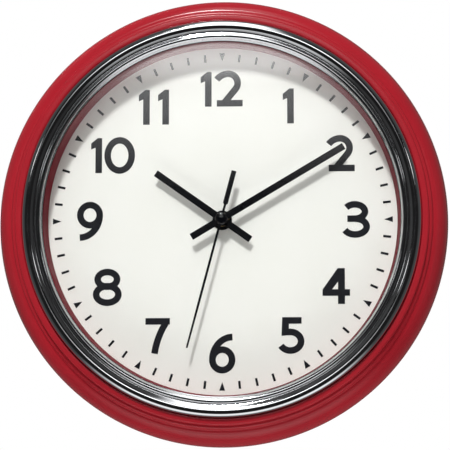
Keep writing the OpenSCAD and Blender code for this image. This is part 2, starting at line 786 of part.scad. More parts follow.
// Straight sheet-metal hand pointing up the dial, with a collar under it.
module baton(length, tail, w, t, hub_r, collar_in, collar_out, collar_h) {
    difference() {
        union() {
            translate([-w / 2, -tail, 0]) cube([w, length + tail, t]);
            cylinder(r = hub_r, h = t);
            translate([0, 0, t - collar_h]) cylinder(r = collar_out, h = collar_h);
        }
        translate([0, 0, -10]) cylinder(r = collar_in, h = 20);
    }
}

module hour_hand() {
    color([0.05, 0.05, 0.06]) upright() translate([0, 0, dial_z + hour_h - sheet_t / 2])
        rotate(-hour_angle)
            baton(hour_len, tail_len, hand_w, sheet_t, hand_hub_r, hour_tube_r, hour_tube_r + 1.2, 2.2);
}

module minute_hand() {
    color([0.05, 0.05, 0.06]) upright() translate([0, 0, dial_z + minute_h - sheet_t / 2])
        rotate(-minute_angle)
            baton(minute_len, tail_len, hand_w, sheet_t, hand_hub_r, minute_tube_r, minute_tube_r + 1.2,
                  2);
}

module second_hand() {
    weight_w = 4.2;
    weight_len = 29.4;
    weight_end = 41.7;
    color([0.04, 0.04, 0.05]) upright() translate([0, 0, dial_z + second_h - needle_t / 2])
        rotate(-second_angle) {
            baton(second_len, 15, needle_w, needle_t, needle_w, pivot_r, 1.5, 2.2);
            translate([-weight_w / 2, -weight_end, 0]) cube([weight_w, weight_len, needle_t]);
        }
}

module second_hand_cap() {
    cap_r = 5.2;
    cap_h = 2.2;
    dome_r = (cap_r * cap_r + cap_h * cap_h) / (2 * cap_h);
    color([0.04, 0.04, 0.05]) upright() translate([0, 0, dial_z + second_h + needle_t / 2])
        intersection() {
            cylinder(r = cap_r, h = cap_h + 1);
            translate([0, 0, cap_h - dome_r]) sphere(r = dome_r);
        }
}

case_ring();
inner_wall_ring();
chrome_bezel();
lens();
lens_gasket();
back_plate();
dial();
dial_numerals();
minute_track();
hour_markers();
back_plate_screws();
bezel_screws();
hanger_plate();
hanger_screws();
movement_front_housing();
movement_back_cover();
rubber_washer();
dial_washer();
hex_nut();
train_plate();
rotor_magnet();
rotor_pinion();
fifth_wheel();
seconds_wheel();
third_wheel();
centre_wheel();
minute_wheel();
hour_wheel();
setting_knob();
stator();
coil_bobbin();
coil_winding();
circuit_board();
chip_blob();
quartz_crystal();
positive_contact();
negative_contact();
battery();
hour_hand();
minute_hand();
second_hand();
second_hand_cap();
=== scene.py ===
"""Looks of the wall clock: smooth shells, hands and lens round the CAD frame, and their materials."""
import math

import bmesh
import bpy
from mathutils import Matrix, Vector


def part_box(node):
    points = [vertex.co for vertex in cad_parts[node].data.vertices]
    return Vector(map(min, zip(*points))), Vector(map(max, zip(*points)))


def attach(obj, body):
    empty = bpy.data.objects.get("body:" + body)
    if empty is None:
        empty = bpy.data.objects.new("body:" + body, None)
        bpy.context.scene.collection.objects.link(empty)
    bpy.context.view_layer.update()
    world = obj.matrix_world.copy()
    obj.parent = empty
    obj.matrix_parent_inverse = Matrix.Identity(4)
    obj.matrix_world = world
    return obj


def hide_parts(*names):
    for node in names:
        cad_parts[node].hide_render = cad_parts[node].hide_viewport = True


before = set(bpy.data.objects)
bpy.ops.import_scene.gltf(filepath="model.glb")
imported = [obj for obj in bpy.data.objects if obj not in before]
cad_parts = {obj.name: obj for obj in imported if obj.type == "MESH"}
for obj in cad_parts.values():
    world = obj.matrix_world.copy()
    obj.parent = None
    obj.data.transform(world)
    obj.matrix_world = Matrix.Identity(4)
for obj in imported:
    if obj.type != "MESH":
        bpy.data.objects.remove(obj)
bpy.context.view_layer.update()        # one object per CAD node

MM = 0.001
SCENE = bpy.context.scene

# Heights are above the wall and radii about the hands' axis, all in millimetres.


def front_of(node):
    return -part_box(node)[0].y / MM


def back_of(node):
    return -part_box(node)[1].y / MM


def radius_of(node):
    return max(math.hypot(v.co.x, v.co.z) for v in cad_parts[node].data.vertices) / MM


# Read from the CAD frame.
DIAL = front_of("dial")
PLATE = back_of("back_plate")
PLATE_T = front_of("back_plate") - PLATE
RIM = radius_of("case_ring")
GASKET = back_of("lens_gasket")
LENS_TOP = front_of("lens")
DIAL_R = radius_of("dial")
LENS_R = radius_of("lens")
WASHER_R = radius_of("dial_washer")

# Typed in, for what the boxes of the CAD nodes don't give.
SHELF = DIAL + 17.3     # where the bezel sits on the case
LIP = DIAL + 21.3       # where the bezel's lip meets the lens
LENS_T = 2.0
LENS_DOME_R = 149.6
SHELL_T = 2.6
CENTRE_HOLE = 4.3
WALL_IN_R = 153.2       # the case's inner wall, round the rim of the lens
WALL_OUT_R = 155.8
SEAT_R = RIM - 22.9     # foot of the last step of the case, beside the bezel
BOSS_N = 8
BOSS_RING_R = 161
BEZEL_BOSS_RING_R = 160
BOSS_R = 3.2
BEZEL_BOSS_R = 2.6
BEZEL_BOSS_H = 5.2
PILOT_R = 1.2
RIB_HALF_T = 0.8
HANGER_SCREW_X = 17
HANGER_Y = 172.5

SPIN = 512          # steps round a turned piece
DOME_STEPS = 48     # steps from the middle of the lens to its edge
SHARP = 32          # degrees between two faces of a turned piece that keep their edge
BEVEL_FROM = 35     # degrees between two faces that get a bevel


# ---- Mesh helpers ----

def arc(centre, radius_x, radius_y, start, end, steps=24):
    """Points along part of an ellipse, as (radius, height) pairs."""
    points = []
    for i in range(steps + 1):
        a = math.radians(start + (end - start) * i / steps)
        points.append((centre[0] + radius_x * math.cos(a), centre[1] + radius_y * math.sin(a)))
    return points


def smooth_line(points, steps=6):
    """A Catmull-Rom curve through the points, ends included."""
    ends = [points[0], *points, points[-1]]
    line = []
    for i in range(1, len(ends) - 2):
        p0, p1, p2, p3 = (Vector(p) for p in ends[i - 1:i + 3])
        for k in range(steps):
            t = k / steps
            p = 0.5 * ((2 * p1) + (p2 - p0) * t + (2 * p0 - 5 * p1 + 4 * p2 - p3) * t * t
                       + (3 * p1 - p0 - 3 * p2 + p3) * t ** 3)
            line.append(tuple(p))
    line.append(tuple(points[-1]))
    return line


def to_frame(x, y, z):
    """A face-up point in millimetres (x right, y up the dial, z towards the viewer) in the row frame."""
    return Vector((x, -z, y)) * MM


def link(name, mesh):
    obj = bpy.data.objects.new(name, mesh)
    SCENE.collection.objects.link(obj)
    return obj


def finish_mesh(name, bm, smooth=True):
    """Turns a bmesh into a linked object with outward normals and its sharp edges kept."""
    bmesh.ops.remove_doubles(bm, verts=bm.verts, dist=1e-7)
    bmesh.ops.recalc_face_normals(bm, faces=bm.faces)
    mesh = bpy.data.meshes.new(name)
    bm.to_mesh(mesh)
    bm.free()
    if smooth:
        mesh.shade_smooth()
        mesh.set_sharp_from_angle(angle=math.radians(SHARP))
    return link(name, mesh)


def turn(bm, profile, steps=SPIN, closed=True):
    """Spins (radius, height) points about the hands' axis. A point on the axis stays one vertex."""
    rings = []
    for r, z in profile:
        if r < 1e-6:
            rings.append([bm.verts.new(to_frame(0, 0, z))])
            continue
        angles = (2 * math.pi * k / steps for k in range(steps))
        rings.append([bm.verts.new(to_frame(r * math.cos(a), r * math.sin(a), z)) for a in angles])
    pairs = list(zip(rings, rings[1:] + rings[:1])) if closed else list(zip(rings, rings[1:]))
    for one, other in pairs:
        if len(one) == len(other) == 1:
            continue
        for k in range(steps):
            n = (k + 1) % steps
            corners = [one[k % len(one)], one[n % len(one)], other[n % len(other)], other[k % len(other)]]
            bm.faces.new(list(dict.fromkeys(corners)))


def lathe(name, profile, steps=SPIN, closed=True):
    bm = bmesh.new()
    turn(bm, profile, steps, closed)
    return finish_mesh(name, bm)


def add_tube(bm, x, y, z0, z1, outer, inner, steps=48):
    """A tube standing on the point (x, y), from z0 to z1."""
    made = bmesh.new()
    profile = [(inner, z0), (outer, z0), (outer, z1), (inner, z1)]
    turn(made, profile, steps)
    bmesh.ops.recalc_face_normals(made, faces=made.faces)
    made.transform(Matrix.Translation(to_frame(x, y, 0)))
    mesh = bpy.data.meshes.new("part")
    made.to_mesh(mesh)
    made.free()
    bm.from_mesh(mesh)
    bpy.data.meshes.remove(mesh)


def add_prism(bm, outline, z0, z1, turned):
    """An upright prism on a flat outline of (x, y) points, turned clockwise by some degrees."""
    c, s = math.cos(math.radians(turned)), math.sin(math.radians(turned))
    spots = [(x * c + y * s, y * c - x * s) for x, y in outline]
    low = [bm.verts.new(to_frame(x, y, z0)) for x, y in spots]
    high = [bm.verts.new(to_frame(x, y, z1)) for x, y in spots]
    bm.faces.new(low[::-1])
    bm.faces.new(high)
    for k in range(len(spots)):
        n = (k + 1) % len(spots)
        bm.faces.new((low[k], low[n], high[n], high[k]))


def on_circle(n, radius, start=0.0):
    """n places on a circle, as (x, y, angle in degrees counted anticlockwise from the right)."""
    for k in range(n):
        a = start + 360 * k / n
        yield radius * math.cos(math.radians(a)), radius * math.sin(math.radians(a)), a


def put(obj, body, replaced, slot, look=None):
    """Rides a new piece on its body, gives it the material of its look or else its slot, and hides the CAD
    nodes it replaces.
    """
    obj.data.materials.clear()
    obj.data.materials.append(MATERIALS[look or slot])
    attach(obj, body)
    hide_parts(*replaced)


def soften(obj, width, segments=2):
    """Rounds the edges of a piece without touching its mesh: weld, bevel and weighted normals."""
    weld = obj.modifiers.new("weld", "WELD")
    weld.merge_threshold = 1e-6
    bevel = obj.modifiers.new("bevel", "BEVEL")
    bevel.width = width * MM
    bevel.segments = segments
    bevel.limit_method = "ANGLE"
    bevel.angle_limit = math.radians(BEVEL_FROM)
    bevel.harden_normals = False
    normals = obj.modifiers.new("normals", "WEIGHTED_NORMAL")
    normals.keep_sharp = False


# ---- Material helpers ----

class Nodes:
    """A short way to build one material's node tree."""

    def __init__(self, name):
        self.material = bpy.data.materials.new(name)
        self.material.use_nodes = True
        self.tree = self.material.node_tree
        self.shader = self.tree.nodes["Principled BSDF"]
        self.coords = self.add("ShaderNodeTexCoord").outputs["Object"]

    def add(self, kind, **settings):
        node = self.tree.nodes.new(kind)
        for key, value in settings.items():
            setattr(node, key, value)
        return node

    def plug(self, value, socket):
        if hasattr(value, "is_linked"):
            self.tree.links.new(value, socket)
        else:
            socket.default_value = value

    def stretched(self, scale, turn=(0, 0, 0)):
        """The object coordinates, scaled differently along each axis."""
        node = self.add("ShaderNodeMapping")
        self.plug(self.coords, node.inputs["Vector"])
        node.inputs["Scale"].default_value = scale
        node.inputs["Rotation"].default_value = turn
        return node.outputs["Vector"]

    def noise(self, scale, detail, roughness, vector=None, distortion=0.0):
        node = self.add("ShaderNodeTexNoise")
        self.plug(vector or self.coords, node.inputs["Vector"])
        node.inputs["Scale"].default_value = scale
        node.inputs["Detail"].default_value = detail
        node.inputs["Roughness"].default_value = roughness
        node.inputs["Distortion"].default_value = distortion
        return node.outputs["Fac"]

    def cells(self, scale, vector=None, feature="F1"):
        node = self.add("ShaderNodeTexVoronoi", feature=feature)
        self.plug(vector or self.coords, node.inputs["Vector"])
        node.inputs["Scale"].default_value = scale
        return node.outputs["Distance"]

    def math(self, operation, a, b=0.0):
        node = self.add("ShaderNodeMath", operation=operation)
        self.plug(a, node.inputs[0])
        self.plug(b, node.inputs[1])
        return node.outputs[0]

    def spread(self, value, low, high, start=0.0, end=1.0):
        """value, between start and end, spread over low to high."""
        node = self.add("ShaderNodeMapRange")
        self.plug(value, node.inputs["Value"])
        for key, number in (("From Min", start), ("From Max", end), ("To Min", low), ("To Max", high)):
            self.plug(number, node.inputs[key])
        return node.outputs["Result"]

    def mix(self, share, one, other):
        """A colour between two colours."""
        node = self.add("ShaderNodeMix", data_type="RGBA")
        self.plug(share, node.inputs["Factor"])
        self.plug(one, node.inputs["A"])
        self.plug(other, node.inputs["B"])
        return node.outputs["Result"]

    def axis_distance(self):
        """Distance from the hands' axis, in metres."""
        split = self.add("ShaderNodeSeparateXYZ")
        self.plug(self.coords, split.inputs["Vector"])
        x, z = split.outputs["X"], split.outputs["Z"]
        squares = self.math("ADD", self.math("MULTIPLY", x, x), self.math("MULTIPLY", z, z))
        return self.math("SQRT", squares)

    def bump(self, height, strength, distance, normal=None):
        node = self.add("ShaderNodeBump")
        self.plug(height, node.inputs["Height"])
        node.inputs["Strength"].default_value = strength
        node.inputs["Distance"].default_value = distance
        if normal is not None:
            self.plug(normal, node.inputs["Normal"])
        return node.outputs["Normal"]

    def set(self, **values):
        """Sets or links the Principled shader's sockets, by their names with _ for a space."""
        for key, value in values.items():
            self.plug(value, self.shader.inputs[key.replace("_", " ")])


def rgb(red, green, blue):
    """An sRGB colour of 0 to 255 as Blender's linear RGBA."""
    linear = [(c / 12.92 if c <= 0.04045 else ((c + 0.055) / 1.055) ** 2.4) for c in
              (red / 255, green / 255, blue / 255)]
    return (*linear, 1.0)


def darker(colour, share):
    return (*(c * share for c in colour[:3]), 1.0)


# ---- Materials ----

GRAIN_ALONG = (400, 400, 9000)      # how fine rolled metal's grain is along each axis
BAND_X = 0.011                      # where the battery's sleeve changes colour, in metres


def moulded(name, colour, rough, grain=0.0, gloss_coat=0.0, peel=0.02, shine=0.5):
    """Injection-moulded plastic: faint flow marks, a mould texture or an orange peel, and uneven gloss."""
    n = Nodes(name)
    flow = n.noise(14, 4, 0.6, distortion=0.6)
    speck = n.noise(900, 2, 0.5)
    tone = n.mix(n.spread(flow, 0.0, 1.0, 0.3, 0.7), darker(colour, 0.93), darker(colour, 1.06))
    tone = n.mix(n.spread(speck, 0.0, 0.12, 0.45, 0.75), tone, darker(colour, 0.8))
    patch = n.noise(45, 5, 0.6)
    n.set(Base_Color=tone, Roughness=n.spread(patch, rough * 0.8, rough * 1.25, 0.3, 0.7))
    n.set(Specular_IOR_Level=shine)
    normal = n.bump(n.noise(420, 2, 0.5), peel, 0.0004)
    if grain:
        normal = n.bump(n.noise(2600, 4, 0.65), grain, 0.00012, normal)
    n.set(Normal=normal)
    if gloss_coat:
        n.set(Coat_Weight=gloss_coat, Coat_Roughness=0.05)
    return n.material


def turned_metal(name, colour, rough, line):
    """Bright metal spun in the round: fine rings about the axis, faint hazing and small scratches."""
    n = Nodes(name)
    spin = n.noise(2600, 3, 0.6, vector=n.axis_distance())
    haze = n.noise(60, 5, 0.6)
    scratch = n.cells(260, n.stretched((1, 1, 6), (0.3, 0.2, 0.7)), "DISTANCE_TO_EDGE")
    thin = n.spread(scratch, 1.0, 0.0, 0.0, 0.015)
    n.set(Base_Color=n.mix(haze, darker(colour, 0.94), darker(colour, 1.03)), Metallic=1.0)
    rough_now = n.spread(haze, rough * 0.7, rough * 1.4, 0.3, 0.7)
    n.set(Roughness=n.math("ADD", rough_now, n.math("MULTIPLY", thin, 0.05)))
    n.set(Normal=n.bump(spin, line, 0.000004))
    return n.material


def brushed_metal(name, colour, rough):
    """Rolled or plated sheet metal with a fine grain one way and dull spots."""
    n = Nodes(name)
    grain = n.noise(1, 4, 0.6, vector=n.stretched(GRAIN_ALONG))
    spots = n.noise(160, 4, 0.55)
    n.set(Base_Color=n.mix(n.spread(spots, 0, 1, 0.35, 0.7), darker(colour, 0.8), colour), Metallic=1.0)
    n.set(Roughness=n.spread(grain, rough * 0.75, rough * 1.3, 0.25, 0.75))
    n.set(Normal=n.bump(grain, 0.12, 0.00003))
    return n.material


def dial_card():
    """Coated card: off-white, with a faint fibre fleck and an uneven sheen."""
    n = Nodes("dial_card")
    fibre = n.noise(1500, 5, 0.65, vector=n.stretched((1, 1, 0.35), (0, 0.4, 0)))
    cloud = n.noise(22, 4, 0.5)
    base = n.mix(n.spread(cloud, 0, 1, 0.3, 0.7), rgb(243, 242, 236), rgb(246, 245, 240))
    base = n.mix(n.spread(fibre, 0, 0.3, 0.5, 0.8), base, rgb(232, 230, 222))
    n.set(Base_Color=base, Roughness=n.spread(cloud, 0.55, 0.68, 0.3, 0.7), Specular_IOR_Level=0.3)
    n.set(Normal=n.bump(fibre, 0.08, 0.00005))
    return n.material


def ink(name, colour):
    """Screen-printed ink: dense, a little glossier than the card, with a fine grain."""
    n = Nodes(name)
    grain = n.noise(2200, 4, 0.6)
    cover = n.noise(120, 3, 0.5)
    n.set(Base_Color=n.mix(n.spread(cover, 0, 1, 0.3, 0.7), darker(colour, 0.85), darker(colour, 1.15)))
    n.set(Roughness=n.spread(grain, 0.4, 0.55, 0.3, 0.7), Normal=n.bump(grain, 0.1, 0.00004))
    n.set(Specular_IOR_Level=0.2)
    return n.material


def black_paint(name, rough=0.3, shine=0.15):
    """Baked black enamel on sheet metal, with an orange peel and fine dust in it."""
    n = Nodes(name)
    dust = n.cells(1400)
    peel = n.noise(700, 2, 0.4)
    n.set(Base_Color=n.mix(n.spread(dust, 0.2, 0.0, 0.0, 0.2), rgb(4, 5, 9), rgb(13, 14, 19)))
    n.set(Roughness=n.spread(n.noise(90, 4, 0.6), rough * 0.8, rough * 1.3, 0.3, 0.7))
    n.set(Normal=n.bump(peel, 0.05, 0.00008), Specular_IOR_Level=shine)
    return n.material


def lens_glass():
    """Clear float glass: what is behind it shows unbent, under a Fresnel reflection with faint smears."""
    n = Nodes("lens_glass")
    n.tree.nodes.remove(n.shader)
    smear = n.noise(30, 5, 0.6, vector=n.stretched((1, 1, 2.5), (0, 0.5, 0)), distortion=0.8)
    clear = n.add("ShaderNodeBsdfTransparent")
    clear.inputs["Color"].default_value = (0.985, 0.99, 0.988, 1)
    gloss = n.add("ShaderNodeBsdfGlossy")
    gloss.inputs["Color"].default_value = (1, 1, 1, 1)
    n.plug(n.spread(smear, 0.0, 0.03, 0.45, 0.8), gloss.inputs["Roughness"])
    facing = n.add("ShaderNodeLayerWeight").outputs["Facing"]
    mirror = n.spread(n.math("POWER", facing, 5.0), 0.04, 1.0)
    both = n.add("ShaderNodeMixShader")
    n.plug(mirror, both.inputs[0])
    n.plug(clear.outputs[0], both.inputs[1])
    n.plug(gloss.outputs[0], both.inputs[2])
    n.plug(both.outputs[0], n.tree.nodes["Material Output"].inputs["Surface"])
    return n.material


def soft_rubber(name):
    n = Nodes(name)
    bloom = n.noise(200, 5, 0.65)
    n.set(Base_Color=n.mix(n.spread(bloom, 0, 1, 0.35, 0.75), rgb(18, 18, 18), rgb(44, 43, 42)))
    n.set(Roughness=n.spread(bloom, 0.7, 0.92, 0.3, 0.7), Normal=n.bump(bloom, 0.15, 0.00005))
    return n.material


def wound_wire():
    """Enamelled copper wire, with the turns as fine rings along the coil: painted shade between the turns
    and a painted sheen on them.
    """
    n = Nodes("copper_wire")
    wave = n.add("ShaderNodeTexWave", bands_direction="X")
    n.plug(n.coords, wave.inputs["Vector"])
    wave.inputs["Scale"].default_value = 2400
    # painted shade and sheen: the copper goes dark between the turns and bright on them
    n.set(Base_Color=n.mix(wave.outputs["Fac"], rgb(110, 44, 16), rgb(214, 118, 62)), Metallic=0.9)
    n.set(Roughness=0.3, Normal=n.bump(wave.outputs["Fac"], 0.5, 0.00005))
    return n.material


def battery_sleeve():
    """Printed metal sleeve: a plain two-colour band round the cell, with a fine metallic fleck."""
    n = Nodes("battery_sleeve")
    split = n.add("ShaderNodeSeparateXYZ")
    n.plug(n.coords, split.inputs["Vector"])
    band = n.math("GREATER_THAN", split.outputs["X"], BAND_X)
    fleck = n.noise(3000, 3, 0.6)
    base = n.mix(band, rgb(22, 25, 31), rgb(184, 120, 52))
    n.set(Base_Color=n.mix(n.spread(fleck, 0, 0.35, 0.5, 0.8), base, rgb(120, 120, 120)))
    n.set(Metallic=0.75, Roughness=n.spread(n.noise(80, 4, 0.6), 0.2, 0.34, 0.3, 0.7))
    n.set(Coat_Weight=0.4, Coat_Roughness=0.08, Normal=n.bump(fleck, 0.04, 0.00002))
    return n.material


RED = rgb(152, 29, 39)
MATERIALS = {
    "case_plastic": moulded("case_plastic", RED, 0.2, peel=0.006, shine=0.25),
    # painted shade: the case red made darker and duller for the inner wall, which sits in the shade under
    # the bezel
    "shaded_wall_plastic": moulded("shaded_wall_plastic", rgb(112, 12, 30), 0.6, peel=0.004, shine=0.12),
    "bezel_chrome": turned_metal("bezel_chrome", (0.62, 0.63, 0.65, 1), 0.08, 0.02),
    "lens_glass": lens_glass(),
    "black_rubber": soft_rubber("black_rubber"),
    "back_plastic": moulded("back_plastic", rgb(30, 30, 32), 0.55, grain=0.35),
    "dial_card": dial_card(),
    "dial_ink": ink("dial_ink", rgb(20, 21, 27)),
    "zinc_steel": brushed_metal("zinc_steel", (0.62, 0.62, 0.6, 1), 0.3),
    "black_steel": black_paint("black_steel", 0.35),
    "brass": brushed_metal("brass", (0.72, 0.55, 0.3, 1), 0.25),
    "movement_plastic": moulded("movement_plastic", rgb(24, 24, 26), 0.42, grain=0.2),
    "natural_plastic": moulded("natural_plastic", rgb(216, 212, 196), 0.4, grain=0.05),
    "red_gear_plastic": moulded("red_gear_plastic", rgb(176, 52, 34), 0.4, grain=0.05),
    "blue_gear_plastic": moulded("blue_gear_plastic", rgb(48, 92, 150), 0.4, grain=0.05),
    "magnet": soft_rubber("magnet"),
    "stator_steel": brushed_metal("stator_steel", (0.4, 0.41, 0.43, 1), 0.4),
    "copper_wire": wound_wire(),
    "board": moulded("board", rgb(30, 92, 52), 0.4, gloss_coat=0.3),
    "epoxy": moulded("epoxy", rgb(12, 12, 13), 0.25, gloss_coat=0.3),
    "battery_sleeve": battery_sleeve(),
    "hand_black": black_paint("hand_black"),
    "cap_black": black_paint("cap_black", 0.12, 0.6),
}


# ---- Case, bezel and lens ----

def case_outline():
    """Front and side of the case ring, from the foot at the wall to the bezel seat."""
    foot = arc((RIM - 14.5, DIAL - 14.7), 14.5, 30, -20, 0)
    flank = [foot[-1], (RIM - 0.4, DIAL - 10.7), (RIM - 1.3, DIAL - 5.7), (RIM - 2.5, DIAL - 1.2),
             (RIM - 4, DIAL + 2.6), (RIM - 6.1, DIAL + 6.1), (RIM - 8.9, DIAL + 9.2)]
    shoulder = [(RIM - 10.5, DIAL + 10.3), (RIM - 11.6, DIAL + 10.9), (RIM - 12.5, DIAL + 11.2),
                (RIM - 13.3, DIAL + 11.7), (RIM - 13.6, DIAL + 12.6)]
    top = [(RIM - 20.3, DIAL + 20.1), (RIM - 21.7, DIAL + 20.1), (RIM - 22.5, DIAL + 19.8),
           (SEAT_R, DIAL + 19.1)]
    lower_bead = arc((RIM - 16.3, DIAL + 12.4), 2.7, 3, 10, 95)
    upper_bead = arc((RIM - 18.7, DIAL + 16.9), 1.9, 3, 5, 90)
    return [(RIM - 3.5, 0), *foot[:-1], *smooth_line([*flank, *shoulder]), *lower_bead, *upper_bead,
            *smooth_line(top, 5), (SEAT_R, SHELF)]


def case_inside():
    """Inside of the shell, from the shelf down to the foot."""
    top = SHELF - SHELL_T
    line = [(168.6, DIAL + 15.2), (170.2, DIAL + 16.4), (171.6, DIAL + 15), (172.6, DIAL + 12.6),
            (175, DIAL + 10.2), (178, DIAL + 8.4),
            (181.6, DIAL + 5), (184, DIAL + 1.2), (185.6, DIAL - 2.8), (186.8, DIAL - 7.8),
            (187.6, DIAL - 13.7), (187.2, DIAL - 18.7), (186, DIAL - 22.3), (RIM - 6.5, 0)]
    return [(165, top), *smooth_line(line, 3)]


def make_case_ring():
    seat = PLATE + PLATE_T
    wall = [(WALL_IN_R, SHELF), (WALL_IN_R, seat), (WALL_OUT_R, seat), (WALL_OUT_R, SHELF - SHELL_T)]
    bm = bmesh.new()
    turn(bm, [*case_outline(), *wall, *case_inside()])
    for x, y, _ in on_circle(BOSS_N, BOSS_RING_R):
        add_tube(bm, x, y, seat, SHELF - 1, BOSS_R, PILOT_R)
    for x in (-HANGER_SCREW_X, HANGER_SCREW_X):
        add_tube(bm, x, HANGER_Y, front_of("hanger_plate"), DIAL + 11, BOSS_R, PILOT_R)
    for _, _, angle in on_circle(BOSS_N, BOSS_RING_R):
        make_rib(bm, angle, seat + 2)
    put(finish_mesh("case_ring_shell", bm), "case", ["case_ring"], "case_plastic")


def make_rib(bm, angle, low):
    """One thin upright rib between the inner wall and the shell."""
    section = [(BOSS_RING_R, low), (184.4, low), (184.6, DIAL + 2), (180, DIAL + 7.2), (174.5, DIAL + 11.2),
               (171, DIAL + 16.6), (BOSS_RING_R, SHELF - 1)]
    a = math.radians(angle)
    faces = []
    for half in (-RIB_HALF_T, RIB_HALF_T):
        faces.append([bm.verts.new(to_frame(r * math.cos(a) - half * math.sin(a),
                                            r * math.sin(a) + half * math.cos(a), z)) for r, z in section])
    bm.faces.new(faces[0])
    bm.faces.new(faces[1][::-1])
    for k in range(len(section)):
        n = (k + 1) % len(section)
        bm.faces.new((faces[0][k], faces[0][n], faces[1][n], faces[1][k]))


def make_inner_wall():
    profile = [(147.5, DIAL), (150.2, DIAL), (151.8, GASKET - 1.8), (DIAL_R, GASKET - 1.8),
               (DIAL_R, GASKET), (149.4, GASKET)]
    # the inner wall is case plastic in a darker copy of its red, painted shade for the recess under the
    # bezel
    put(lathe("inner_wall", profile), "case", ["inner_wall_ring"], "case_plastic", "shaded_wall_plastic")


def bezel_outline():
    """A broad roll, a narrow valley and a smaller ridge that falls to the lip over the lens."""
    valley = [(157.8, DIAL + 24.2), (157.2, DIAL + 23.9), (156.7, DIAL + 23.8), (156.2, DIAL + 23.9)]
    roll = arc((162.1, DIAL + 20.6), 5.2, 5.4, 12, 125, 60)
    ridge = arc((153.8, DIAL + 22.6), 2.5, 2.4, 40, 145, 40)
    slope = smooth_line([roll[-1], *valley, ridge[0]])
    return [(167.3, SHELF), (167.3, DIAL + 20.6), *roll[:-1], *slope[:-1], *ridge,
            *smooth_line([(151.2, DIAL + 23.3), (150.4, DIAL + 22.2), (149.9, DIAL + 21.8), (149.9, LIP)]),
            (WALL_IN_R, LIP), (WALL_IN_R, SHELF), (155, SHELF), (155, LIP + 0.2), (158.5, LIP + 0.4),
            (161.8, DIAL + 23.7), (164.5, DIAL + 21.8), (165.3, DIAL + 19.5), (165.3, SHELF)]


def make_bezel():
    bm = bmesh.new()
    turn(bm, bezel_outline())
    for x, y, _ in on_circle(BOSS_N, BEZEL_BOSS_RING_R, 180 / BOSS_N):
        add_tube(bm, x, y, SHELF, SHELF + BEZEL_BOSS_H, BEZEL_BOSS_R, PILOT_R)
    put(finish_mesh("bezel", bm), "case", ["chrome_bezel"], "bezel_chrome")


def dome(radius, half_angle):
    """Half a spherical cap about the centre of the lens's outer face, from the axis outwards."""
    centre = LENS_TOP - lens_sphere()[0]
    angles = (half_angle * k / DOME_STEPS for k in range(DOME_STEPS + 1))
    return [(radius * math.sin(a), centre + radius * math.cos(a)) for a in angles]


def lens_sphere():
    """Radius of the lens's outer face, and the angle from its axis to its edge."""
    rise = LENS_TOP - LIP
    radius = (LENS_DOME_R ** 2 + rise ** 2) / (2 * rise)
    return radius, math.asin(LENS_DOME_R / radius)


def make_lens():
    radius, half_angle = lens_sphere()
    profile = [*dome(radius, half_angle), (LENS_R, LIP), (LENS_R, LIP - LENS_T),
               *reversed(dome(radius - LENS_T, half_angle))]
    put(lathe("lens_dome", profile, closed=False), "case", ["lens"], "lens_glass")


def make_gasket():
    outer, inner, bead = DIAL_R - 0.1, 150.0, 0.25
    low, high = GASKET, front_of("lens_gasket")
    profile = [(outer, low), (outer, high), (inner + bead, high), *arc((inner + bead, (low + high) / 2),
               bead, (high - low) / 2, 90, 270, 8), (inner + bead, low)]
    put(lathe("gasket_ring", profile, 256), "case", ["lens_gasket"], "black_rubber")


def make_dial():
    back, edge = back_of("dial"), 0.1
    profile = [(CENTRE_HOLE, back), (DIAL_R, back), (DIAL_R, DIAL - edge), (DIAL_R - edge, DIAL),
               (CENTRE_HOLE + edge, DIAL), (CENTRE_HOLE, DIAL - edge)]
    put(lathe("dial_sheet", profile, 360), "case", ["dial"], "dial_card")


def make_washer():
    low, high, edge = back_of("dial_washer"), front_of("dial_washer"), 0.25
    hole = CENTRE_HOLE - 0.2
    profile = [(hole, low), (WASHER_R, low), *arc((WASHER_R - edge, high - edge), edge, edge, 0, 90, 6),
               *arc((hole + edge, high - edge), edge, edge, 90, 180, 6)]
    put(lathe("washer_disc", profile, 160), "case", ["dial_washer"], "black_steel")


# ---- Hands ----

HAND_W = 5.8
HAND_T = 0.6
HAND_HUB_R = 5.2
NEEDLE_W = 2.0
NEEDLE_T = 0.5
NEEDLE_TUBE = (1.5, 0.5)    # outer and inner radius
TAPER_L = 40                # length of the needle's tapered end
WEIGHT_W = 4.2
WEIGHT_FROM = 12.3          # where the needle widens, behind the axis
HOUR_COLLAR = (3.75, 2.55)  # outer and inner radius
MINUTE_COLLAR = (2.9, 1.7)


def hand_angle(node):
    """Clockwise angle from twelve of a hand's farthest point, from the mesh of its CAD node."""
    tip = max((v.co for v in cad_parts[node].data.vertices), key=lambda p: math.hypot(p.x, p.z))
    return math.degrees(math.atan2(tip.x, tip.z))


def hand_length(node, angle):
    a = math.radians(angle)
    ahead = Vector((math.sin(a), 0, math.cos(a)))
    spots = [v.co.dot(ahead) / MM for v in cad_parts[node].data.vertices]
    return max(spots), -min(spots)


def mid_angle(node, width):
    """Clockwise angle from twelve of a hand's middle line. Its farthest point is a corner of the tip."""
    angle = hand_angle(node)
    lean = math.degrees(math.asin(width / 2 / radius_of(node)))
    return min((angle - lean, angle + lean), key=lambda a: abs(tip_skew(node, a)))


def tip_skew(node, angle):
    """How far the middle of a hand's tip lies off a direction."""
    a = math.radians(angle)
    ahead, across = Vector((math.sin(a), 0, math.cos(a))), Vector((math.cos(a), 0, -math.sin(a)))
    points = [v.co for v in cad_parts[node].data.vertices]
    end = max(p.dot(ahead) for p in points)
    tip = [p.dot(across) for p in points if p.dot(ahead) > end - 0.0005]
    return (max(tip) + min(tip)) / 2


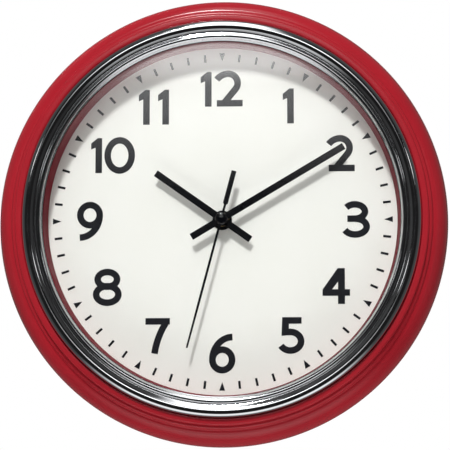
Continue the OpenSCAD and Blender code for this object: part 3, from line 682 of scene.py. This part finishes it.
def make_baton(name, node, collar, body):
    """A straight stamped hand with a round boss, rounded edges and a collar under it."""
    angle = mid_angle(node, HAND_W)
    length, tail = hand_length(node, angle)
    low, high = front_of(node) - HAND_T, front_of(node)
    collar_r, tube_r = collar
    bm = bmesh.new()
    half = HAND_W / 2
    add_prism(bm, [(-half, -tail), (half, -tail), (half, length), (-half, length)], low, high, angle)
    add_tube(bm, 0, 0, low, high, HAND_HUB_R, tube_r, 96)
    add_tube(bm, 0, 0, back_of(node), low + 0.05, collar_r, tube_r, 64)
    obj = finish_mesh(name, bm, smooth=False)
    soften(obj, 0.16, 3)
    put(obj, body, [node], "hand_black")


def make_second_hand():
    node = "second_hand"
    angle = mid_angle(node, NEEDLE_W)
    length, tail = hand_length(node, angle)
    low, high = front_of(node) - NEEDLE_T, front_of(node)
    half, wide = NEEDLE_W / 2, WEIGHT_W / 2
    outline = [(-half * 0.75, length), (half * 0.75, length), (half, length - TAPER_L),
               (half, -WEIGHT_FROM), (wide, -WEIGHT_FROM - 0.6), (wide, -tail + 0.4),
               (wide - 0.4, -tail), (0.4 - wide, -tail), (-wide, 0.4 - tail),
               (-wide, -WEIGHT_FROM - 0.6), (-half, -WEIGHT_FROM), (-half, length - TAPER_L)]
    bm = bmesh.new()
    add_prism(bm, outline, low, high, angle)
    add_tube(bm, 0, 0, back_of(node), high, *NEEDLE_TUBE)
    obj = finish_mesh("second_needle", bm, smooth=False)
    soften(obj, 0.1)
    put(obj, "second_arbor", [node], "hand_black")


def make_cap():
    node = "second_hand_cap"
    low, high, radius = back_of(node), front_of(node), radius_of(node)
    rise, skirt = high - low, 0.35
    dome_line = arc((0, low + skirt), radius, rise - skirt, 0, 90, 32)
    profile = [(0, low), (radius, low), *dome_line[:-1], (0, high)]
    put(lathe("hub_cap", profile, 128, closed=False), "second_arbor", ["second_hand_cap"],
        "hand_black", "cap_black")


# ---- Stage ----

CAMERA_DISTANCE = 2.042
CAMERA_AZIMUTH = 3.25
CAMERA_ELEVATION = -7.45
LENS_MM = 191.23
AIM = Vector((0.00151, -0.011, -0.00203))

KEY_FROM = (-8, 45)     # azimuth and elevation of the main lamp
KEY_DISTANCE = 8.0
KEY_SIZE = (1.0, 0.9)
KEY_POWER = 545
FILL_SIZE = (3.0, 3.0)
FILLS = [               # name, (azimuth, elevation, distance), size and power of each soft lamp
    ("front_fill", (0, -10, 5.0), FILL_SIZE, 22),
    ("top_fill", (0, 60, 5.0), FILL_SIZE, 80),
    ("left_fill", (-84, 0, 4.0), FILL_SIZE, 36),
    ("right_fill", (84, 0, 4.0), FILL_SIZE, 36),
    ("low_fill", (0, -80, 4.0), FILL_SIZE, 105),
    ("rear", (205, 35, 2.5), (1.6, 1.2), 110),
]
FLOOR_Z = -0.6
FLOOR_R = 12
FLOOR_GLOW = 0.95
ROOM = 0.014            # levels of light from each part of the room
SIDES = 0.07
CEILING = 2.4
TABLE = 1.35
SIDE_LAMP = 2.5
OVER_CAMERA = 1.6
TOP_PANEL = 3.4
BEHIND = 0.03


def make_camera():
    data = bpy.data.cameras.new("camera")
    data.lens = LENS_MM
    data.sensor_width = 36.0
    data.clip_start, data.clip_end = 0.1, 50
    camera = bpy.data.objects.new("camera", data)
    SCENE.collection.objects.link(camera)
    a, e = math.radians(CAMERA_AZIMUTH), math.radians(CAMERA_ELEVATION)
    back = Vector((math.sin(a) * math.cos(e), -math.cos(a) * math.cos(e), math.sin(e)))
    camera.location = back * CAMERA_DISTANCE
    camera.rotation_mode = "QUATERNION"
    camera.rotation_quaternion = (AIM - camera.location).to_track_quat("-Z", "Y")
    SCENE.camera = camera


def area_light(name, place, size, power):
    """A rectangular lamp that points at the middle of the clock."""
    data = bpy.data.lights.new(name, "AREA")
    data.shape = "RECTANGLE"
    data.size, data.size_y = size
    data.energy = power
    obj = bpy.data.objects.new(name, data)
    SCENE.collection.objects.link(obj)
    obj.location = place
    obj.rotation_mode = "QUATERNION"
    obj.rotation_quaternion = Vector(place).to_track_quat("Z", "Y")
    return obj


def direction(azimuth, elevation, distance):
    """A place seen from the clock: azimuth 0 is in front of the dial, positive to the viewer's right."""
    a, e = math.radians(azimuth), math.radians(elevation)
    return Vector((math.sin(a) * math.cos(e), -math.cos(a) * math.cos(e), math.sin(e))) * distance


def make_lights():
    """One lamp that shows in the shiny parts, and wide soft ones that don't."""
    area_light("key", direction(*KEY_FROM, KEY_DISTANCE), KEY_SIZE, KEY_POWER)
    for name, (azimuth, elevation, distance), size, power in FILLS:
        fill = area_light(name, direction(azimuth, elevation, distance), size, power)
        fill.visible_glossy = False


class Sky:
    """The room that lights the clock and shows in it, as soft panels on a sphere of directions."""

    def __init__(self):
        world = bpy.data.worlds.new("studio")
        SCENE.world = world
        world.use_nodes = True
        self.tree = world.node_tree
        self.tree.nodes.clear()
        coords = self.tree.nodes.new("ShaderNodeTexCoord")
        split = self.tree.nodes.new("ShaderNodeSeparateXYZ")
        self.tree.links.new(coords.outputs["Generated"], split.inputs["Vector"])
        x, y, z = split.outputs
        back = self.math("MULTIPLY", y, -1.0)
        self.azimuth = self.degrees(self.math("ARCTAN2", x, back))  # 0 in front of the dial, + right
        self.elevation = self.degrees(self.math("ARCSINE", z))
        self.off_axis = self.degrees(self.math("ARCCOSINE", back))  # 0 straight in front of the dial
        self.clock = self.degrees(self.math("ARCTAN2", x, z))       # round the dial from twelve, + right
        self.level = 0.0

    def math(self, operation, a, b=0.0):
        node = self.tree.nodes.new("ShaderNodeMath")
        node.operation = operation
        for value, socket in ((a, node.inputs[0]), (b, node.inputs[1])):
            if hasattr(value, "is_linked"):
                self.tree.links.new(value, socket)
            else:
                socket.default_value = value
        return node.outputs[0]

    def degrees(self, value):
        return self.math("MULTIPLY", value, 180 / math.pi)

    def step(self, value, start, end):
        """0 before start and 1 past end, smoothly, or the other way round if end comes first."""
        node = self.tree.nodes.new("ShaderNodeMapRange")
        node.interpolation_type = "SMOOTHSTEP"
        self.tree.links.new(value, node.inputs["Value"])
        node.inputs["From Min"].default_value = start
        node.inputs["From Max"].default_value = end
        return node.outputs["Result"]

    def near(self, value, centre, half, soft):
        """1 within half of centre, fading to 0 over soft on either side."""
        away = self.math("ABSOLUTE", self.math("SUBTRACT", value, centre))
        return self.step(away, half + soft, half)

    def add(self, level, *shares):
        for share in shares:
            level = self.math("MULTIPLY", share, level)
        self.level = self.math("ADD", self.level, level)

    def finish(self):
        out = self.tree.nodes.new("ShaderNodeOutputWorld")
        room = self.tree.nodes.new("ShaderNodeBackground")
        room.inputs["Color"].default_value = (1, 1, 1, 1)
        self.tree.links.new(self.level, room.inputs["Strength"])
        white = self.tree.nodes.new("ShaderNodeBackground")
        white.inputs["Color"].default_value = (1, 1, 1, 1)
        path = self.tree.nodes.new("ShaderNodeLightPath")
        both = self.tree.nodes.new("ShaderNodeMixShader")
        self.tree.links.new(path.outputs["Is Camera Ray"], both.inputs[0])
        self.tree.links.new(room.outputs[0], both.inputs[1])
        self.tree.links.new(white.outputs[0], both.inputs[2])
        self.tree.links.new(both.outputs[0], out.inputs["Surface"])


def make_world():
    """A dim room with a pale ceiling and table, two panels above the camera and a lamp at either side."""
    sky = Sky()
    round_the_dial = sky.math("ABSOLUTE", sky.clock)
    sky.add(ROOM, 1.0)
    sky.add(SIDES, sky.step(sky.off_axis, 40, 80))
    sky.add(CEILING, sky.step(sky.off_axis, 28, 44), sky.step(sky.off_axis, 100, 80),
            sky.step(round_the_dial, 14, 4))
    sky.add(TABLE, sky.step(sky.off_axis, 47, 61), sky.step(sky.off_axis, 108, 76),
            sky.step(round_the_dial, 125, 150))
    sky.add(SIDE_LAMP, sky.near(sky.off_axis, 44, 2, 3), sky.near(round_the_dial, 63, 2.5, 3))
    sky.add(OVER_CAMERA, sky.step(sky.elevation, 9, 20), sky.step(sky.elevation, 27, 22),
            sky.near(sky.azimuth, -3, 8, 8))
    sky.add(TOP_PANEL, sky.step(sky.elevation, 18, 20.5), sky.step(sky.elevation, 27, 23),
            sky.near(sky.azimuth, -3, 4, 12))
    sky.add(BEHIND, sky.step(sky.off_axis, 95, 120))
    sky.finish()


def make_floor():
    """A pale floor well under the clock, which nothing mirrors. Its paint glows to match the background."""
    bm = bmesh.new()
    bmesh.ops.create_circle(bm, cap_ends=True, radius=FLOOR_R, segments=96)
    floor = finish_mesh("floor", bm, smooth=False)
    floor.location.z = FLOOR_Z
    n = Nodes("floor_paint")
    cloud = n.noise(2.0, 4, 0.5)
    paint = n.mix(cloud, rgb(236, 236, 234), rgb(242, 242, 240))
    n.set(Base_Color=paint, Roughness=0.8, Emission_Color=paint, Emission_Strength=FLOOR_GLOW)
    floor.data.materials.append(n.material)
    floor.visible_glossy = False
    floor.visible_diffuse = False
    floor.visible_shadow = False


def make_look():
    SCENE.view_settings.view_transform = "Standard"
    SCENE.view_settings.look = "None"


# ---- Put together ----

NODE_LOOKS = {   # CAD nodes that stay: (material, bevel width in millimetres or 0)
    "dial_numerals": ("dial_ink", 0), "minute_track": ("dial_ink", 0), "hour_markers": ("dial_ink", 0),
    "back_plate": ("back_plastic", 0.3), "back_plate_screws": ("zinc_steel", 0.12),
    "bezel_screws": ("zinc_steel", 0), "hanger_plate": ("zinc_steel", 0.2),
    "hanger_screws": ("zinc_steel", 0.12), "movement_front_housing": ("movement_plastic", 0.25),
    "movement_back_cover": ("movement_plastic", 0.25), "rubber_washer": ("black_rubber", 0.2),
    "hex_nut": ("brass", 0.15), "train_plate": ("natural_plastic", 0), "rotor_magnet": ("magnet", 0),
    "rotor_pinion": ("natural_plastic", 0), "fifth_wheel": ("natural_plastic", 0),
    "seconds_wheel": ("red_gear_plastic", 0), "third_wheel": ("natural_plastic", 0),
    "centre_wheel": ("blue_gear_plastic", 0), "minute_wheel": ("natural_plastic", 0),
    "hour_wheel": ("natural_plastic", 0), "setting_knob": ("movement_plastic", 0),
    "stator": ("stator_steel", 0), "coil_bobbin": ("movement_plastic", 0),
    "coil_winding": ("copper_wire", 0), "circuit_board": ("board", 0), "chip_blob": ("epoxy", 0),
    "quartz_crystal": ("zinc_steel", 0), "positive_contact": ("zinc_steel", 0),
    "negative_contact": ("zinc_steel", 0), "battery": ("battery_sleeve", 0),
}


def dress_nodes():
    for name, (look, bevel) in NODE_LOOKS.items():
        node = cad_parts[name]
        node.data.materials.clear()
        node.data.materials.append(MATERIALS[look])
        if bevel:
            soften(node, bevel)


make_camera()
make_case_ring()
make_inner_wall()
make_bezel()
make_lens()
make_gasket()
make_dial()
make_washer()
make_baton("hour_baton", "hour_hand", HOUR_COLLAR, "hour_arbor")
make_baton("minute_baton", "minute_hand", MINUTE_COLLAR, "minute_arbor")
make_second_hand()
make_cap()
dress_nodes()
make_floor()
make_world()
make_lights()
make_look()
